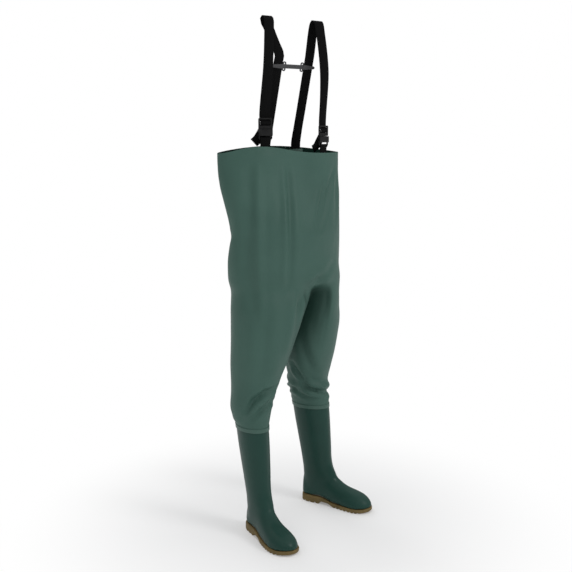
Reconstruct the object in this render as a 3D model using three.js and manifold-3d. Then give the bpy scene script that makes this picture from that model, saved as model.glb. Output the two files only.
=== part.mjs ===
// Chest waders: a coated-fabric bib and legs, welded to moulded boots, with elastic shoulder straps.
// Millimetres, +Z up. The wearer faces -Y, so the wearer's right side is -X.
import * as THREE from "three";
import { mergeVertices } from "three/addons/utils/BufferGeometryUtils.js";
import Module from "manifold-3d";

const wasm = await Module();
wasm.setup();

// ---- clearances and sheet thicknesses -------------------------------------------------------
const GAP = 0.3; // between pieces that touch
const FABRIC = 1.2; // coated nylon
const FACING = 1.0; // folded hem inside the top edge
const TAPE = 0.8; // seam tape
const BAND = 1.2; // weld band over the boot joint
const PATCH = 1.0; // anchor patch
const WEBBING = 1.8; // elastic strap
const TAB_WEBBING = 1.8; // front tab
const BOOT_WALL = 3.0;
const SMALLEST_EDGE = 0.01;

// ---- bib ------------------------------------------------------------------------------------
const RIM_HEIGHT = 1367; // top edge at its lowest
const RIM_RISE_BACK = 25;
const RIM_RISE_RIGHT_STRAP = 26;
const CROTCH_HEIGHT = 832;
const HEM_HEIGHT = 26;
const TAPE_WIDTH = 22;
const BIB_LENGTH = RIM_HEIGHT - CROTCH_HEIGHT;
// share of the bib's length up from the crotch, half width, front depth, back depth, forward shift
const TORSO = [
  [0, 60, 50, 50, -28],
  [0.034, 150, 104, 96, -27],
  [0.101, 221, 132, 116, -26],
  [0.193, 237, 139, 116, -24],
  [0.314, 239, 138, 106, -26],
  [0.479, 233, 134, 92, -34],
  [0.649, 245, 124, 78, -20],
  [0.789, 258, 112, 66, -8],
  [0.931, 266, 101, 54, -2],
  [1.099, 268, 95, 50, 0],
];
const BIB_ROWS = [0, 0.011, 0.034, 0.067, 0.101, 0.14, 0.202, 0.314, 0.398, 0.479];
BIB_ROWS.push(0.557, 0.649, 0.718, 0.789, 0.875, 0.94);

// ---- legs ---------------------------------------------------------------------------------------
// share of the way up from the fabric's lower end to the crotch, centre x, centre y,
// half length along the foot, half width
const LEGS = {
  right: {
    side: -1,
    heel: [-154.6, -26.5],
    turn: -7.7,
    lean: [-5, 31],
    stations: [
      [0.185, -162, -50, 81, 71],
      [0.349, -150, -50, 86, 84],
      [0.552, -135, -54, 105, 103],
      [0.703, -123, -54, 113, 111],
      [0.905, -112, -44, 120, 116],
      [1.081, -108, -34, 114, 114],
      [1.221, -108, -26, 84, 92],
    ],
  },
  left: {
    side: 1,
    heel: [164.9, 55.2],
    turn: 22.6,
    lean: [-18, 25],
    stations: [
      [0.162, 163, 28, 82, 70],
      [0.297, 159, 24, 80, 78],
      [0.444, 149, 15, 96, 93],
      [0.653, 140, 0, 109, 106],
      [0.883, 127, -12, 120, 116],
      [1.081, 110, -22, 114, 114],
      [1.221, 110, -22, 84, 92],
    ],
  },
};

// ---- boots ----------------------------------------------------------------------------------
const FOOT_LENGTH = 294;
const SHAFT_CENTRE = 0.218 * FOOT_LENGTH; // from the back of the heel
const SHAFT_TOP = 412;
const FABRIC_OVERLAP = 24;
const FABRIC_BOTTOM = SHAFT_TOP - FABRIC_OVERLAP; // the leg ends here, outside the boot shaft
const BAND_HEIGHT = 16;
const LEAN_FROM = 0.316 * SHAFT_TOP;
// share of the shaft's height, half length, half width
const SHAFT = [
  [0.146, 58, 36],
  [0.316, 62, 39],
  [0.485, 64, 43.5],
  [0.68, 69, 49],
  [0.874, 74, 53],
  [1, 75, 53.5],
];
// share of the foot's length from the heel, lateral half width, medial half width, height of the upper
const FOOT = [
  [0.003, 10, 10, 96],
  [0.02, 21, 21, 106],
  [0.054, 29, 29, 112],
  [0.122, 34.5, 34, 116],
  [0.238, 36, 34, 118],
  [0.367, 38, 34, 114],
  [0.463, 42, 38, 99],
  [0.565, 47, 43, 85],
  [0.667, 51, 48, 75],
  [0.765, 51, 51, 68],
  [0.857, 45, 50, 61],
  [0.925, 35, 43, 51],
  [0.969, 22, 32, 41],
  [0.997, 8, 18, 30],
].map(([share, ...sizes]) => [share * FOOT_LENGTH, ...sizes]);
const HEEL_HEIGHT = 28;
const HEEL_LENGTH = 0.286 * FOOT_LENGTH;
const HEEL_GROOVES = [0.26, 0.52, 0.79].map((share) => share * HEEL_LENGTH);
const SOLE_THICK = 15;
const WAIST_BOTTOM = 11;
const BALL_START = 0.51 * FOOT_LENGTH;
const TOE_SPRING = 7;
const WELT = 2; // the sole stands out this far
const GROOVE_WIDTH = 6;
const GROOVE_DEPTH = 4.5;
const GROOVE_STEP = 16;
const INSOLE_THICK = 3;
const INSOLE_CLEARANCE = 1;

// ---- straps and buckles -----------------------------------------------------------------------
const STRAP_WIDTH = 40;
const FRONT_STRAP_X = 133;
const FRONT_STRAP_SHIFT = 8; // the straps hang a little to the wearer's left
const BACK_STRAP_X = 68;
const BACK_STRAP_SHIFT = 42;
const SEWN_DEPTH = 46; // how far each webbing end reaches down inside the bib
const PEAK = [104, -50, RIM_HEIGHT + 462];
const PEAK_SHIFT = { right: 13, left: 26 };
const CONNECTOR_HEIGHT = RIM_HEIGHT + 300;
const CONNECTOR_Y = -26;
const CONNECTOR_TRAVEL_ROOM = 16;
const BACK_RUN_START = 8; // the straight run of the back straps starts this far above the rim
const PATCH_MARGIN = 10;
// buckle, measured up from the rim
const BUCKLE_WIDTH = STRAP_WIDTH + 12;
const SOCKET_BOTTOM = 22;
const SOCKET_TOP = 57;
const SOCKET_THICK = 12;
const MALE_TOP = 95;
const MALE_THICK = 6;
const BAR = 5;
const TAB_BAR_THICK = 4;

// ---- solids -----------------------------------------------------------------------------------
function solidOf(positions, triangles) {
  const build = (tris) =>
    new wasm.Manifold(
      new wasm.Mesh({
        numProp: 3,
        vertProperties: new Float32Array(positions),
        triVerts: new Uint32Array(tris),
      }),
    );
  const made = build(triangles);
  if (made.volume() > 0) return made;
  const turned = triangles.slice();
  for (let i = 0; i < turned.length; i += 3) {
    turned[i] = triangles[i + 1];
    turned[i + 1] = triangles[i];
  }
  return build(turned);
}

function solidOfGeometry(geometry, matrix = new THREE.Matrix4()) {
  const plain = geometry.clone();
  plain.deleteAttribute("normal");
  plain.deleteAttribute("uv");
  const merged = mergeVertices(plain, 1e-4);
  merged.applyMatrix4(matrix);
  return solidOf(Array.from(merged.attributes.position.array), Array.from(merged.index.array));
}

function geometryOf(solid) {
  const mesh = solid.getMesh();
  const geometry = new THREE.BufferGeometry();
  geometry.setAttribute("position", new THREE.BufferAttribute(mesh.vertProperties, 3));
  geometry.setIndex(new THREE.BufferAttribute(mesh.triVerts, 1));
  geometry.computeVertexNormals();
  return geometry;
}

// A closed solid through rings of points that all have the same number of points.
function loft(rings) {
  const count = rings[0].length;
  const positions = [];
  const triangles = [];
  for (const ring of rings) for (const p of ring) positions.push(p.x, p.y, p.z);
  for (let r = 0; r + 1 < rings.length; r++) {
    for (let i = 0; i < count; i++) {
      const a = r * count + i;
      const b = r * count + ((i + 1) % count);
      triangles.push(a, b, b + count, a, b + count, a + count);
    }
  }
  const cap = (ring, start, forward) => {
    const middle = new THREE.Vector3();
    for (const p of ring) middle.add(p);
    middle.divideScalar(count);
    const centre = positions.length / 3;
    positions.push(middle.x, middle.y, middle.z);
    for (let i = 0; i < count; i++) {
      const a = start + i;
      const b = start + ((i + 1) % count);
      if (forward) triangles.push(a, b, centre);
      else triangles.push(b, a, centre);
    }
  };
  cap(rings[0], 0, false);
  cap(rings[rings.length - 1], (rings.length - 1) * count, true);
  return solidOf(positions, triangles);
}

function box(width, depth, height, x, y, z) {
  const matrix = new THREE.Matrix4().makeTranslation(x, y, z);
  return solidOfGeometry(new THREE.BoxGeometry(width, depth, height), matrix);
}

// A smooth reading of a table of stations at the value of its first column.
function stationAt(table, at) {
  let i = 0;
  while (i + 2 < table.length && table[i + 1][0] <= at) i++;
  const slope = (k, c) => {
    const before = table[Math.max(k - 1, 0)];
    const after = table[Math.min(k + 1, table.length - 1)];
    return (after[c] - before[c]) / (after[0] - before[0]);
  };
  const low = table[i];
  const high = table[i + 1];
  const span = high[0] - low[0];
  const t = Math.min(Math.max((at - low[0]) / span, 0), 1);
  return low.map((value, c) => {
    const h00 = 2 * t ** 3 - 3 * t ** 2 + 1;
    const h10 = t ** 3 - 2 * t ** 2 + t;
    const h01 = 3 * t ** 2 - 2 * t ** 3;
    const h11 = t ** 3 - t ** 2;
    return h00 * value + h10 * span * slope(i, c) + h01 * high[c] + h11 * span * slope(i + 1, c);
  });
}

const range = (count) => Array.from({ length: count }, (_, i) => i);
const steps = (from, to, count) => range(count + 1).map((i) => from + ((to - from) * i) / count);

// ---- bib and legs -------------------------------------------------------------------------------
const TURN = 2 * Math.PI;
const BIB_SIDES = 40;
const LEG_SIDES = 24;

// Height of the top edge at an angle counted from +X; the front is at 3/4 of a turn.
function rimHeight(angle) {
  const away = (centre) => {
    const turn = (((angle - centre) % TURN) + 1.5 * TURN) % TURN;
    return turn - TURN / 2;
  };
  const back = Math.exp(-((away(TURN / 4) / 1.0) ** 2));
  const strap = Math.exp(-((away(TURN * 0.66) / 0.55) ** 2));
  return RIM_HEIGHT + RIM_RISE_BACK * back + RIM_RISE_RIGHT_STRAP * strap;
}

const torsoAt = (height) => stationAt(TORSO, (height - CROTCH_HEIGHT) / BIB_LENGTH);

// A point of the bib wall, a given depth in from its outer face.
function bibPoint(angle, height, depth) {
  const [, half, front, back, shift] = torsoAt(height);
  const across = Math.sin(angle) < 0 ? front : back;
  return new THREE.Vector3(
    (half - depth) * Math.cos(angle),
    shift + (across - depth) * Math.sin(angle),
    height,
  );
}

function bibSolid(depth, above) {
  const heights = BIB_ROWS.map((share) => CROTCH_HEIGHT + share * BIB_LENGTH);
  const angles = steps(0, TURN, BIB_SIDES).slice(0, -1);
  const rings = heights.map((height) => angles.map((a) => bibPoint(a, height, depth)));
  for (const point of rings[0]) point.z += depth;
  const rim = angles.map((a) => bibPoint(a, rimHeight(a), depth));
  rings.push(rim);
  if (above) rings.push(rim.map((p) => p.clone().setZ(p.z + above)));
  return loft(rings);
}

const radians = THREE.MathUtils.degToRad;

// Directions of one foot: along it to the toe, and out to its lateral side.
function footAxes(leg) {
  const t = radians(leg.turn);
  return {
    along: new THREE.Vector2(Math.sin(t), -Math.cos(t)),
    out: new THREE.Vector2(leg.side * Math.cos(t), leg.side * Math.sin(t)),
  };
}

function footPoint(leg, along, out, height) {
  const axes = footAxes(leg);
  return new THREE.Vector3(
    leg.heel[0] + along * axes.along.x + out * axes.out.x,
    leg.heel[1] + along * axes.along.y + out * axes.out.y,
    height,
  );
}

function shaftCentre(leg, height) {
  const share = Math.max(0, (height - LEAN_FROM) / (FABRIC_BOTTOM - LEAN_FROM));
  const point = footPoint(leg, SHAFT_CENTRE, 0, height);
  point.x += leg.lean[0] * share;
  point.y += leg.lean[1] * share;
  return point;
}

function ovalRing(leg, centre, halfLength, halfWidth, sides) {
  const axes = footAxes(leg);
  return steps(0, TURN, sides)
    .slice(0, -1)
    .map((a) => {
      const along = halfLength * Math.cos(a);
      const out = halfWidth * Math.sin(a);
      return new THREE.Vector3(
        centre.x + along * axes.along.x + out * axes.out.x,
        centre.y + along * axes.along.y + out * axes.out.y,
        centre.z,
      );
    });
}

// The oval of the boot shaft at a height, grown by a margin.
function shaftRing(leg, height, margin, sides) {
  const [, halfLength, halfWidth] = stationAt(SHAFT, height / SHAFT_TOP);
  const centre = shaftCentre(leg, height);
  return ovalRing(leg, centre, halfLength + margin, halfWidth + margin, sides);
}

// The trouser leg: it starts over the boot shaft and runs up into the bib.
function legSolid(leg, depth, below) {
  const cover = GAP + FABRIC - depth;
  const rings = [FABRIC_BOTTOM - below, FABRIC_BOTTOM + BAND_HEIGHT + 2].map((height) =>
    shaftRing(leg, height, cover, LEG_SIDES),
  );
  const start = leg.stations[0][0];
  const end = leg.stations[leg.stations.length - 1][0];
  for (const share of steps(start, end, 9)) {
    const [, x, y, halfLength, halfWidth] = stationAt(leg.stations, share);
    const height = FABRIC_BOTTOM + share * (CROTCH_HEIGHT - FABRIC_BOTTOM);
    const centre = new THREE.Vector3(x, y, height);
    rings.push(ovalRing(leg, centre, halfLength - depth, halfWidth - depth, LEG_SIDES));
  }
  return loft(rings);
}

function garmentSolid(depth, above, below) {
  let solid = bibSolid(depth, above);
  for (const leg of Object.values(LEGS)) solid = solid.add(legSolid(leg, depth, below));
  return solid;
}

const OPEN_END = 30; // inner solids run past the openings by this much
const outer = garmentSolid(0, 0, 0);
const wall = outer.subtract(garmentSolid(FABRIC, OPEN_END, OPEN_END));

function bodyHalf(side) {
  const size = 2000;
  const keep = box(size, size, 2 * size, side * (size / 2 + GAP / 2), 0, size / 2);
  return wall.intersect(keep);
}

// A thin layer just inside the bib, up to the rim.
function bibLayer(depth, thick) {
  return bibSolid(depth, 0).subtract(bibSolid(depth + thick, OPEN_END));
}

function hemFacing() {
  const angles = steps(0, TURN, BIB_SIDES).slice(0, -1);
  const outside = -140;
  const below = loft([
    angles.map((a) => bibPoint(a, rimHeight(a), outside).setZ(CROTCH_HEIGHT - 100)),
    angles.map((a) => bibPoint(a, rimHeight(a), outside).setZ(rimHeight(a) - HEM_HEIGHT)),
  ]);
  return bibLayer(FABRIC + GAP, FACING).subtract(below);
}

// One tape down the inside of the front, under the crotch and up the back.
function seamTape() {
  const depth = FABRIC + GAP;
  const layer = garmentSolid(depth, 0, OPEN_END).subtract(
    garmentSolid(depth + TAPE, OPEN_END, 2 * OPEN_END),
  );
  const top = RIM_HEIGHT - HEM_HEIGHT - 4;
  const strip = box(TAPE_WIDTH, 1000, top - 600, 0, 0, (top + 600) / 2);
  const cut = layer.intersect(strip);
  return cut.decompose().sort((a, b) => b.volume() - a.volume())[0];
}

// ---- boots --------------------------------------------------------------------------------------
// A domed section across the foot, grown or shrunk by a margin.
function footSolid(leg, margin) {
  const stations = FOOT.map(([at, lateral, medial, top]) => {
    const middle = (SHAFT_CENTRE + FOOT_LENGTH) / 2;
    const along = at + (margin * (at - middle)) / middle;
    const grow = (half) => Math.max(half + margin, half * 0.5);
    return [along, grow(lateral), grow(medial), top + margin];
  });
  const sides = 12;
  const rings = stations.map(([along, lateral, medial, top]) => {
    const ring = steps(0, Math.PI, sides).map((a) => {
      const reach = Math.sign(Math.cos(a)) * Math.abs(Math.cos(a)) ** 0.75;
      const out = reach > 0 ? reach * lateral : reach * medial;
      return footPoint(leg, along, out, top * Math.sin(a) ** 0.75);
    });
    return ring;
  });
  return loft(rings);
}

function shaftSolid(leg, margin, above) {
  const heights = steps(SHAFT[0][0] * SHAFT_TOP, SHAFT_TOP, 9);
  const rings = heights.map((height) => shaftRing(leg, height, margin, LEG_SIDES));
  if (above) {
    const last = rings[rings.length - 1];
    rings.push(last.map((p) => p.clone().add(new THREE.Vector3(0, 0, above))));
  }
  return loft(rings);
}

// Turns a drawing of along and height into a block across one foot.
function footBlock(leg, points, from, to) {
  const shape = new THREE.Shape(points.map(([x, y]) => new THREE.Vector2(x, y)));
  const geometry = new THREE.ExtrudeGeometry(shape, { depth: to - from, bevelEnabled: false });
  const axes = footAxes(leg);
  const matrix = new THREE.Matrix4().makeBasis(
    new THREE.Vector3(axes.along.x, axes.along.y, 0),
    new THREE.Vector3(0, 0, 1),
    new THREE.Vector3(axes.out.x, axes.out.y, 0),
  );
  matrix.setPosition(footPoint(leg, 0, from, 0));
  return solidOfGeometry(geometry, matrix);
}

const SOLE_TOP = [
  [-30, HEEL_HEIGHT],
  [HEEL_LENGTH + 6, HEEL_HEIGHT],
  [BALL_START - 6, SOLE_THICK + 1],
  [250, SOLE_THICK],
  [FOOT_LENGTH + 30, SOLE_THICK + TOE_SPRING],
];
const SOLE_BOTTOM = [
  [-30, 0],
  [HEEL_LENGTH, 0],
  [HEEL_LENGTH + 5, WAIST_BOTTOM],
  [BALL_START - 22, WAIST_BOTTOM - 2],
  [BALL_START, 0],
  [FOOT_LENGTH * 0.85, 0],
  [FOOT_LENGTH + 30, TOE_SPRING * 1.6],
];

function belowSoleTop(leg, raise) {
  const line = SOLE_TOP.map(([x, z]) => [x, z + raise]);
  const floor = [
    [FOOT_LENGTH + 30, -40],
    [-30, -40],
  ];
  return footBlock(leg, line.concat(floor), -90, 90);
}

function soleOutline(leg, margin, from, to) {
  const lateral = FOOT.map(([at, out]) => [at, out + margin]);
  const medial = FOOT.map(([at, , out]) => [at, -out - margin]).reverse();
  const heelEnd = [[1 - margin, 0]];
  const toeEnd = [[FOOT_LENGTH + margin, -5]];
  const points = heelEnd.concat(lateral, toeEnd, medial);
  const at = ([x, out]) => footPoint(leg, x, out, 0);
  const rings = [from, to].map((height) =>
    points.map((p) => {
      const point = at(p);
      point.z = height;
      return point;
    }),
  );
  return loft(rings);
}

function outsole(leg) {
  const profile = SOLE_TOP.concat(SOLE_BOTTOM.slice().reverse());
  let solid = soleOutline(leg, WELT, -5, 60).intersect(footBlock(leg, profile, -90, 90));
  const grooves = HEEL_GROOVES.slice();
  for (let at = BALL_START + 12; at < FOOT_LENGTH - 20; at += GROOVE_STEP) grooves.push(at);
  for (const at of grooves) {
    const half = GROOVE_WIDTH / 2;
    const cut = [
      [at - half, -5],
      [at + half, -5],
      [at + half, GROOVE_DEPTH],
      [at - half, GROOVE_DEPTH],
    ];
    solid = solid.subtract(footBlock(leg, cut, -90, 90));
  }
  return solid;
}

function bootUpper(leg) {
  const skin = footSolid(leg, 0).add(shaftSolid(leg, 0, 0));
  const hollow = footSolid(leg, -BOOT_WALL).add(shaftSolid(leg, -BOOT_WALL, OPEN_END));
  const shell = skin.subtract(hollow.subtract(belowSoleTop(leg, GAP + BOOT_WALL)));
  return shell.subtract(belowSoleTop(leg, GAP));
}

function insole(leg) {
  const base = GAP + BOOT_WALL + GAP;
  const slab = belowSoleTop(leg, base + INSOLE_THICK).subtract(belowSoleTop(leg, base));
  return footSolid(leg, -BOOT_WALL - INSOLE_CLEARANCE).intersect(slab);
}

function weldBand(leg) {
  const cover = GAP + FABRIC + GAP;
  const ring = (margin, over) =>
    loft([
      shaftRing(leg, FABRIC_BOTTOM - over, margin, LEG_SIDES),
      shaftRing(leg, FABRIC_BOTTOM + BAND_HEIGHT + over, margin, LEG_SIDES),
    ]);
  return ring(cover + BAND, 0).subtract(ring(cover, 5));
}

// ---- straps ---------------------------------------------------------------------------------------
// A flat ribbon along a curve; its width lies as near to the given direction as it can.
function ribbon(points, width, thick, count, widthAt) {
  const curve = new THREE.CatmullRomCurve3(points, false, "centripetal");
  const rings = range(count + 1).map((i) => {
    const at = curve.getPointAt(i / count);
    const along = curve.getTangentAt(i / count);
    const wanted = widthAt(i / count);
    const across = wanted.clone().addScaledVector(along, -wanted.dot(along)).normalize();
    const normal = new THREE.Vector3().crossVectors(along, across).normalize();
    return [
      [-1, -1],
      [1, -1],
      [1, 1],
      [-1, 1],
    ].map(([w, t]) =>
      at
        .clone()
        .addScaledVector(across, (w * width) / 2)
        .addScaledVector(normal, (t * thick) / 2),
    );
  });
  return loft(rings);
}

const vector = (x, y, z) => new THREE.Vector3(x, y, z);
const smooth = THREE.MathUtils.smoothstep;
const FRONT_LAYERS = FABRIC + GAP + FACING + GAP; // between the outer face and a sewn webbing end
const WALL_CURVE = 1.0; // room for flat webbing against the curved wall in front of it
const PATCH_CURVE = 0.5; // and behind it

// Where a front strap meets the rim, and the direction of the wall there.
function frontAnchor(side) {
  const x = side * FRONT_STRAP_X + FRONT_STRAP_SHIFT;
  const angle = 0.75 * TURN + Math.asin(x / torsoAt(RIM_HEIGHT)[1]);
  const height = rimHeight(angle);
  const depth = FRONT_LAYERS + WALL_CURVE + TAB_WEBBING / 2;
  const at = bibPoint(angle, height, depth);
  const next = bibPoint(angle + 0.04, height, depth);
  const before = bibPoint(angle - 0.04, height, depth);
  const across = next.sub(before).setZ(0).normalize();
  const low = bibPoint(angle, height - SEWN_DEPTH, depth);
  const inward = vector(-across.y, across.x, 0);
  const drop = low.clone().sub(at);
  return { angle, at, across, inward, slope: drop.dot(inward), height };
}

// The frame of one buckle: x across the strap, y inward to the wearer, z up from the rim.
function buckleFrame(side) {
  const anchor = frontAnchor(side);
  const matrix = new THREE.Matrix4().makeBasis(anchor.across, anchor.inward, vector(0, 0, 1));
  matrix.setPosition(anchor.at);
  return { ...anchor, matrix };
}

// Extrudes a drawing along one axis of a buckle's frame, with holes cut through it.
function extruded(frame, turn, points, depth, start, holes) {
  const block = (outline, from, length) => {
    const shape = new THREE.Shape(outline.map(([x, z]) => new THREE.Vector2(x, z)));
    const geometry = new THREE.ExtrudeGeometry(shape, { depth: length, bevelEnabled: false });
    geometry.translate(0, 0, from);
    return solidOfGeometry(geometry, frame.matrix.clone().multiply(turn));
  };
  let solid = block(points, start, depth);
  for (const hole of holes) solid = solid.subtract(block(hole, start - 1, depth + 2));
  return solid;
}

// A drawing of inward and up, extruded across the buckle's width.
function sideCut(frame, points, width, holes = []) {
  const turn = new THREE.Matrix4().makeBasis(vector(0, 1, 0), vector(0, 0, 1), vector(1, 0, 0));
  return extruded(frame, turn, points, width, -width / 2, holes);
}

// A drawing of across and up, extruded through the buckle's thickness about a middle depth.
function faceCut(frame, points, thick, middle = 0, holes = []) {
  const turn = new THREE.Matrix4().makeBasis(vector(1, 0, 0), vector(0, 0, 1), vector(0, -1, 0));
  return extruded(frame, turn, points, thick, -middle - thick / 2, holes);
}

const rectangle = (half, low, high) => [
  [-half, low],
  [half, low],
  [half, high],
  [-half, high],
];

const SLOT_HALF = STRAP_WIDTH / 2 + 1;
const FEMALE_SLOT = [SOCKET_BOTTOM + BAR, SOCKET_BOTTOM + BAR + 8];
const CAVITY_BOTTOM = SOCKET_BOTTOM + 17;
const WINDOW = [CAVITY_BOTTOM + 2, SOCKET_TOP - 6];

function buckleFemale(side) {
  const frame = buckleFrame(side);
  const half = BUCKLE_WIDTH / 2;
  const outline = [
    [-half + 3, SOCKET_BOTTOM],
    [half - 3, SOCKET_BOTTOM],
    [half, SOCKET_BOTTOM + 4],
    [half, SOCKET_TOP],
    [-half, SOCKET_TOP],
    [-half, SOCKET_BOTTOM + 4],
  ];
  const slot = rectangle(SLOT_HALF, ...FEMALE_SLOT);
  let solid = faceCut(frame, outline, SOCKET_THICK, 0, [slot]);
  solid = solid.subtract(faceCut(frame, rectangle(half - 6, CAVITY_BOTTOM, SOCKET_TOP + 5), 7.2));
  solid = solid.subtract(faceCut(frame, rectangle(40, ...WINDOW), 7.2));
  const front = faceCut(frame, rectangle(40, SOCKET_BOTTOM - 5, FEMALE_SLOT[1]), 20, -12);
  const back = faceCut(frame, rectangle(40, SOCKET_BOTTOM - 5, FEMALE_SLOT[1]), 20, 12);
  return solid.subtract(front).subtract(back);
}

const CENTRE_BAR = [MALE_TOP - BAR - 9 - BAR, MALE_TOP - BAR - 9];
const UPPER_SLOT = [CENTRE_BAR[1], MALE_TOP - BAR];
const LOWER_SLOT = [CENTRE_BAR[0] - 7, CENTRE_BAR[0]];
const MALE_BASE = SOCKET_TOP + 1.5;

function buckleMale(side) {
  const frame = buckleFrame(side);
  const half = BUCKLE_WIDTH / 2 - 1;
  const outline = [
    [-half, MALE_BASE],
    [half, MALE_BASE],
    [half, MALE_TOP - 3],
    [half - 3, MALE_TOP],
    [-half + 3, MALE_TOP],
    [-half, MALE_TOP - 3],
  ];
  const slots = [UPPER_SLOT, LOWER_SLOT].map((slot) => rectangle(SLOT_HALF, ...slot));
  const body = faceCut(frame, outline, MALE_THICK, 0, slots);
  const tongue = faceCut(frame, rectangle(5, CAVITY_BOTTOM + 2, MALE_BASE + 2), 5);
  return body.add(tongue);
}

// One flexing arm; its shoulder hooks under the rim of the socket's window.
function latchArm(side, hand) {
  const frame = buckleFrame(side);
  const root = MALE_BASE - GAP;
  const shoulder = WINDOW[1] - GAP;
  const half = BUCKLE_WIDTH / 2;
  const outline = [
    [13, root],
    [8.8, root],
    [6.8, shoulder + 1],
    [6.8, shoulder],
    [1.4, shoulder],
    [0.8, shoulder - 3],
    [3, WINDOW[0] + 1.6],
    [7, WINDOW[0] + 0.6],
    [10, WINDOW[0] + 3],
    [10.8, shoulder - 2],
  ].map(([inset, z]) => [hand * (half - inset), z]);
  return faceCut(frame, outline, 5);
}

// The tab: sewn inside the bib at its lower end, looped round the socket's bar at its upper end.
function frontTab(side) {
  const frame = buckleFrame(side);
  const half = TAB_WEBBING / 2;
  const eye = TAB_BAR_THICK / 2 + 1 + GAP;
  const loopLow = SOCKET_BOTTOM - GAP - 0.5;
  const loopHigh = SOCKET_BOTTOM + BAR + GAP + 0.5;
  const outer = eye + TAB_WEBBING;
  const outline = [
    [frame.slope - half, -SEWN_DEPTH],
    [frame.slope + half, -SEWN_DEPTH],
    [half, 2],
    [half, loopLow - 5],
    [outer, loopLow],
    [outer, loopHigh],
    [eye, loopHigh + TAB_WEBBING],
    [-eye, loopHigh + TAB_WEBBING],
    [-outer, loopHigh],
    [-outer, loopLow],
    [-half, loopLow - 5],
    [-half, 2],
  ];
  const hole = [
    [-eye, loopLow],
    [eye, loopLow],
    [eye, loopHigh],
    [-eye, loopHigh],
  ];
  return sideCut(frame, outline, STRAP_WIDTH - 2, [hole]);
}

function backAnchor(side) {
  const x = side * BACK_STRAP_X + BACK_STRAP_SHIFT;
  const angle = Math.acos(x / torsoAt(RIM_HEIGHT)[1]);
  const height = rimHeight(angle);
  const depth = FRONT_LAYERS + WALL_CURVE + WEBBING / 2;
  const across = bibPoint(angle - 0.04, height, depth).sub(bibPoint(angle + 0.04, height, depth));
  const at = bibPoint(angle, height, depth);
  return { x, angle, height, depth, at, across: across.setZ(0).normalize() };
}

// Straight run of a back strap, along which the connector slides.
function backRun(side) {
  const anchor = backAnchor(side);
  const lowY = (backAnchor(-1).at.y + backAnchor(1).at.y) / 2;
  const low = vector(anchor.x, lowY, RIM_HEIGHT + RIM_RISE_BACK + BACK_RUN_START);
  const high = vector(anchor.x, CONNECTOR_Y, CONNECTOR_HEIGHT);
  const along = high.clone().sub(low).normalize();
  return { anchor, low, high, along };
}

function shoulderStrap(side) {
  const frame = buckleFrame(side);
  const { anchor, low, high, along } = backRun(side);
  const world = (x, y, z) => vector(x, y, z).applyMatrix4(frame.matrix);
  const behind = MALE_THICK / 2 + GAP + WEBBING / 2 + 0.3;
  const start = MALE_TOP + 6;
  const shift = side < 0 ? PEAK_SHIFT.right : PEAK_SHIFT.left;
  const peak = vector(side * PEAK[0] + shift, PEAK[1], PEAK[2]);
  const top = high.clone().addScaledVector(along, CONNECTOR_TRAVEL_ROOM);
  const sewn = bibPoint(anchor.angle, anchor.height - SEWN_DEPTH, anchor.depth);
  const fold = 15;
  const down = peak.clone().add(vector(0, fold, 0));
  const runTop = top.clone().addScaledVector(along, 22);
  const run = ribbon(
    [
      world(0, behind, start - 8),
      world(0, behind, start + 8),
      vector(side * 119 + shift, -76, CONNECTOR_HEIGHT - 17),
      vector(side * (PEAK[0] + 3) + shift, PEAK[1] - fold - 2, PEAK[2] - 42),
      peak.clone().add(vector(0, -fold * 0.75, -9)),
      peak,
      peak.clone().add(vector(-side, fold * 0.75, -9)),
      down.clone().lerp(runTop, 0.34),
      down.clone().lerp(runTop, 0.7),
      runTop,
      top,
      high,
      high.clone().lerp(low, 0.5),
      low,
      anchor.at,
      sewn,
    ],
    STRAP_WIDTH,
    WEBBING,
    74,
    (u) => {
      const middle = frame.across.clone().lerp(vector(1, 0, 0), smooth(u, 0.05, 0.25));
      return middle.lerp(anchor.across, smooth(u, 0.86, 0.92)).normalize();
    },
  );
  const t = WEBBING / 2;
  const front = -behind;
  const weave = [
    [behind - t, start],
    [behind - t, UPPER_SLOT[1] - 0.6],
    [front - t, CENTRE_BAR[1] + 1],
    [front - t, CENTRE_BAR[0] - 1.6],
    [behind - t, LOWER_SLOT[0] + 0.2],
    [behind - t, LOWER_SLOT[0] - 4],
    [behind + t, LOWER_SLOT[0] - 4],
    [behind + t, LOWER_SLOT[0] + 1.4],
    [front + t, CENTRE_BAR[0] - 0.6],
    [front + t, CENTRE_BAR[1] + 0.3],
    [behind + t, UPPER_SLOT[1] - 1.3],
    [behind + t, start],
  ];
  const hook = sideCut(frame, weave, STRAP_WIDTH);
  const tail = ribbon(
    [
      world(0, behind, LOWER_SLOT[0] - 1),
      world(0, behind + 2.5, LOWER_SLOT[0] - 8),
      world(-6, SOCKET_THICK / 2 + 4, LOWER_SLOT[0] - 22),
      world(-20, SOCKET_THICK / 2 + 8, LOWER_SLOT[0] - 44),
      world(-34, SOCKET_THICK / 2 + 14, LOWER_SLOT[0] - 58),
    ],
    STRAP_WIDTH * 0.98,
    WEBBING,
    12,
    () => frame.across,
  );
  return run.add(hook).add(tail);
}

// A square of fabric over a sewn webbing end, inside the bib.
function anchorPatch(anchor, front) {
  const webbing = front ? TAB_WEBBING : WEBBING;
  const depth = FRONT_LAYERS + WALL_CURVE + webbing + PATCH_CURVE + GAP;
  const width = STRAP_WIDTH + 2 * PATCH_MARGIN;
  const high = anchor.height - PATCH_MARGIN;
  const low = anchor.height - SEWN_DEPTH - PATCH_MARGIN;
  const y = front ? -200 : 200;
  const around = box(width, 400, high - low, anchor.at.x, y, (high + low) / 2);
  return bibLayer(depth, PATCH).intersect(around);
}

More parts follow.
